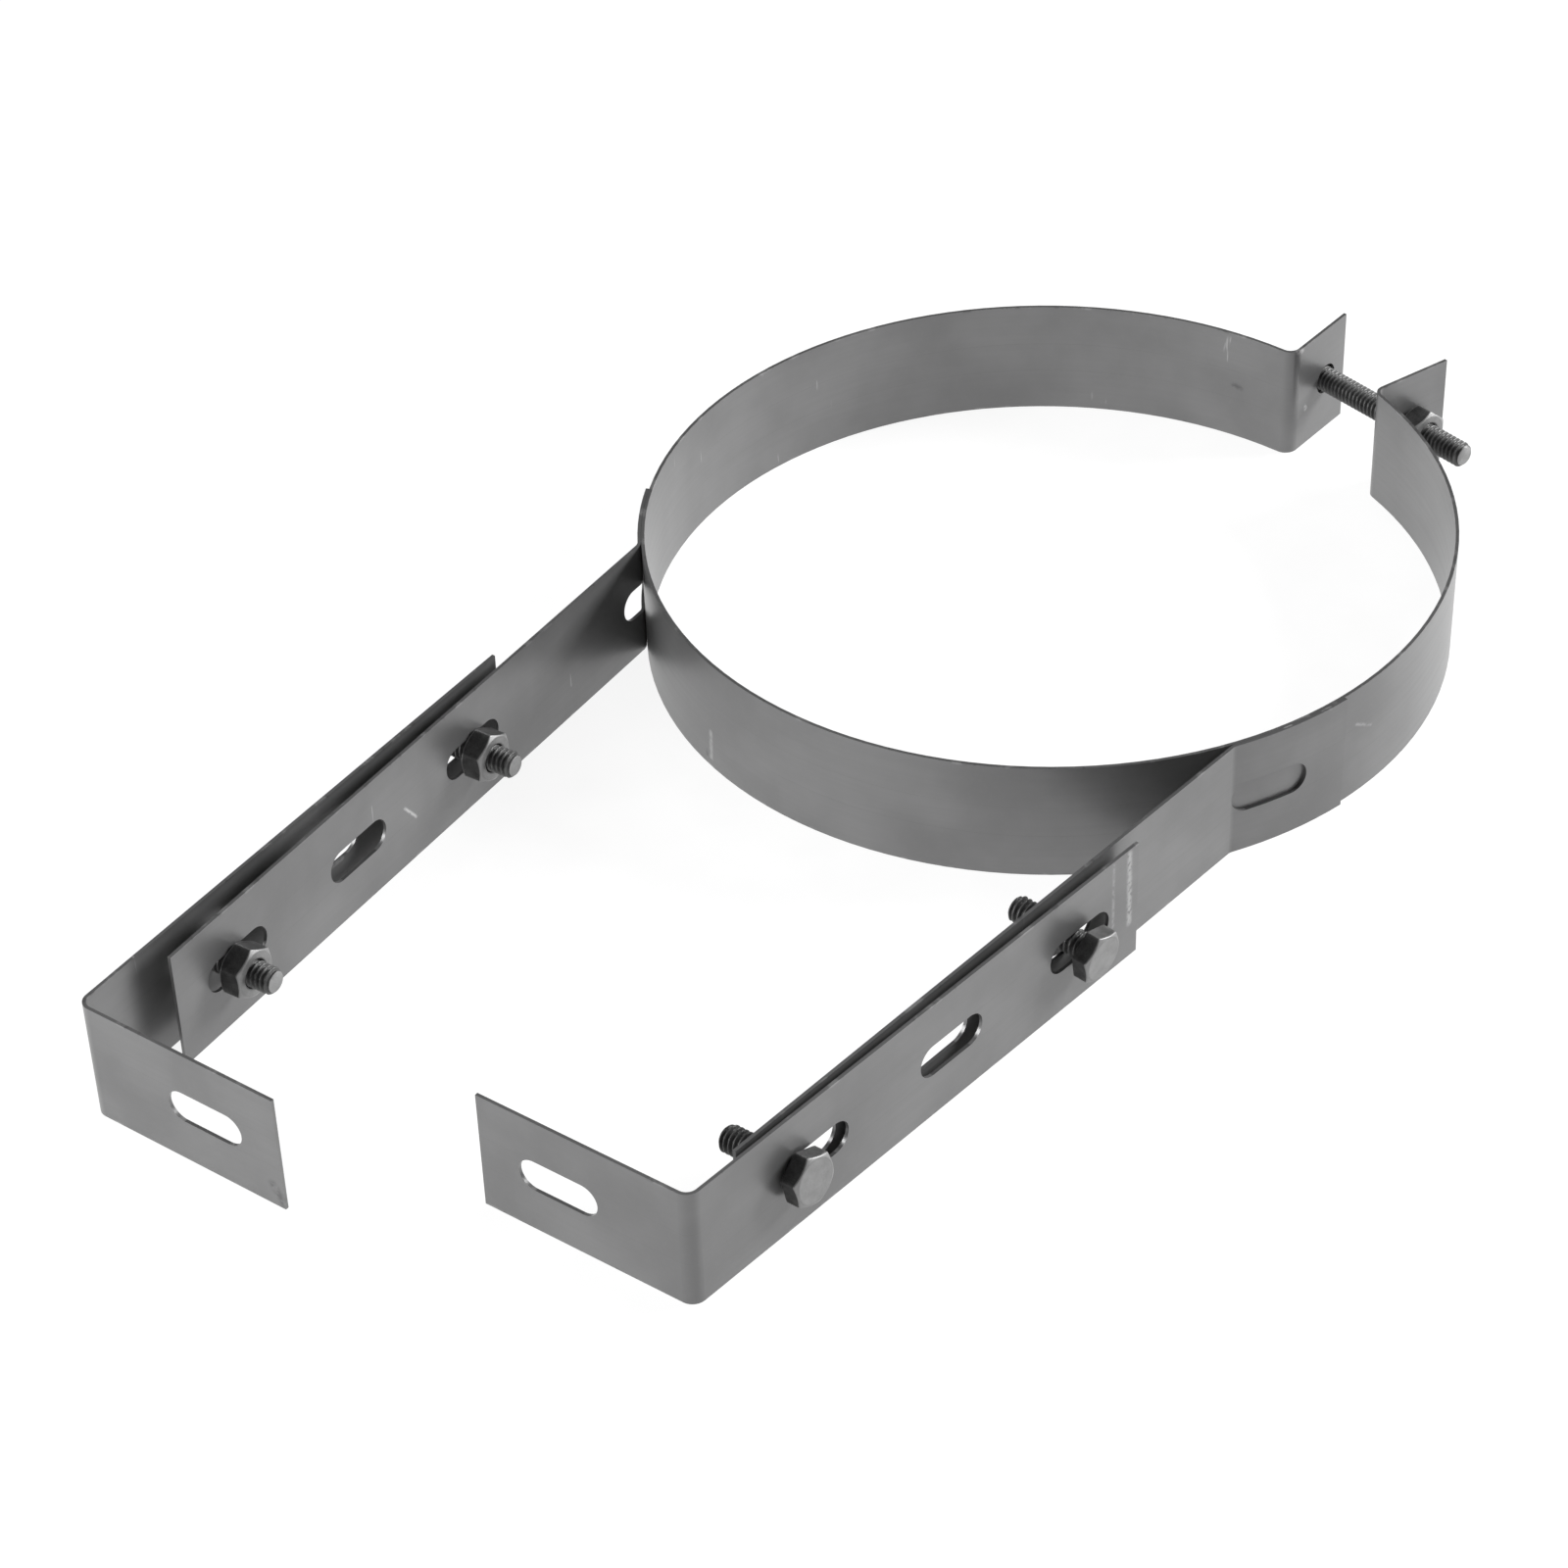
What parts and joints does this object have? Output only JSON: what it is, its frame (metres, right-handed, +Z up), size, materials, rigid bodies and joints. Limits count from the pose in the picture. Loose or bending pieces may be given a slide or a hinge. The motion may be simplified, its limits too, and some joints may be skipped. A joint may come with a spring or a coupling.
{
  "type": "chimney liner clamp",
  "caption": "Steel band clamp with slotted arms and bolt-adjusted wall brackets that holds a round chimney liner or flue pipe at a set distance from a wall.",
  "frame": {"origin": "on the axis of the ring, at the lower edges of the strips", "axes": "+Z up along the flue, +Y away from the wall, +X to the right seen from the wall"},
  "size_m": [0.1921, 0.376, 0.03],
  "materials": {
    "painted_strip": "satin grey paint",
    "dark_steel_hardware": "dull, blackened"
  },
  "bodies": {
    "clamp": {"band": "painted_strip", "left_arm": "painted_strip", "right_arm": "painted_strip"},
    "left_bolts": {"left_lower_bolt": "dark_steel_hardware", "left_upper_bolt": "dark_steel_hardware"},
    "left_bracket": {"left_wall_bracket": "painted_strip"},
    "left_lower_nut": {"left_lower_nut": "dark_steel_hardware"},
    "left_upper_nut": {"left_upper_nut": "dark_steel_hardware"},
    "right_bolts": {"right_lower_bolt": "dark_steel_hardware", "right_upper_bolt": "dark_steel_hardware"},
    "right_bracket": {"right_wall_bracket": "painted_strip"},
    "right_lower_nut": {"right_lower_nut": "dark_steel_hardware"},
    "right_upper_nut": {"right_upper_nut": "dark_steel_hardware"},
    "clamp_bolt": {"clamp_bolt": "dark_steel_hardware"},
    "clamp_nut": {"clamp_nut": "dark_steel_hardware"}
  },
  "joints": [
    {"name": "left_bolts_along_arm", "type": "slide", "parent": "clamp", "child": "left_bolts", "axis": [-0.0523, 0.9986, 0], "range_m": [-0.005, 0.0054]},
    {"name": "left_bracket_along_bolts", "type": "slide", "parent": "left_bolts", "child": "left_bracket", "axis": [-0.0305, 0.9995, 0], "range_m": [-0.0012, 0.0092]},
    {"name": "left_lower_nut_along_thread", "type": "slide", "parent": "left_bolts", "child": "left_lower_nut", "axis": [0.9986, 0.0523, 0], "range_m": [-0.0001, 0.0053]},
    {"name": "left_upper_nut_along_thread", "type": "slide", "parent": "left_bolts", "child": "left_upper_nut", "axis": [0.9986, 0.0523, 0], "range_m": [-0.0001, 0.0056]},
    {"name": "right_bolts_along_arm", "type": "slide", "parent": "clamp", "child": "right_bolts", "axis": [0.0872, 0.9962, 0], "range_m": [-0.0015, 0.0046]},
    {"name": "right_bracket_along_bolts", "type": "slide", "parent": "right_bolts", "child": "right_bracket", "axis": [0.1011, 0.9949, 0], "range_m": [-0.0059, 0.0002]},
    {"name": "right_lower_nut_along_thread", "type": "slide", "parent": "right_bolts", "child": "right_lower_nut", "axis": [-0.9931, 0.0869, -0.0785], "range_m": [-0.0001, 0.0097]},
    {"name": "right_upper_nut_along_thread", "type": "slide", "parent": "right_bolts", "child": "right_upper_nut", "axis": [-0.9931, 0.0869, 0.0785], "range_m": [-0.0001, 0.0073]},
    {"name": "clamp_bolt_turn", "type": "hinge", "parent": "clamp", "child": "clamp_bolt", "pos_m": [0.02775, 0.10654, 0.015], "axis": [0.9677, -0.2521, 0], "range_deg": [-3459, 0]},
    {"name": "clamp_nut_along_thread", "type": "slide", "parent": "clamp", "child": "clamp_nut", "axis": [0.9677, -0.2521, 0], "range_m": [0, 0.0122]}
  ],
  "couplings": [
    {"joint": "clamp_bolt_turn", "follows": "clamp_nut_along_thread", "rad_per_m": -4947.4}
  ]
}
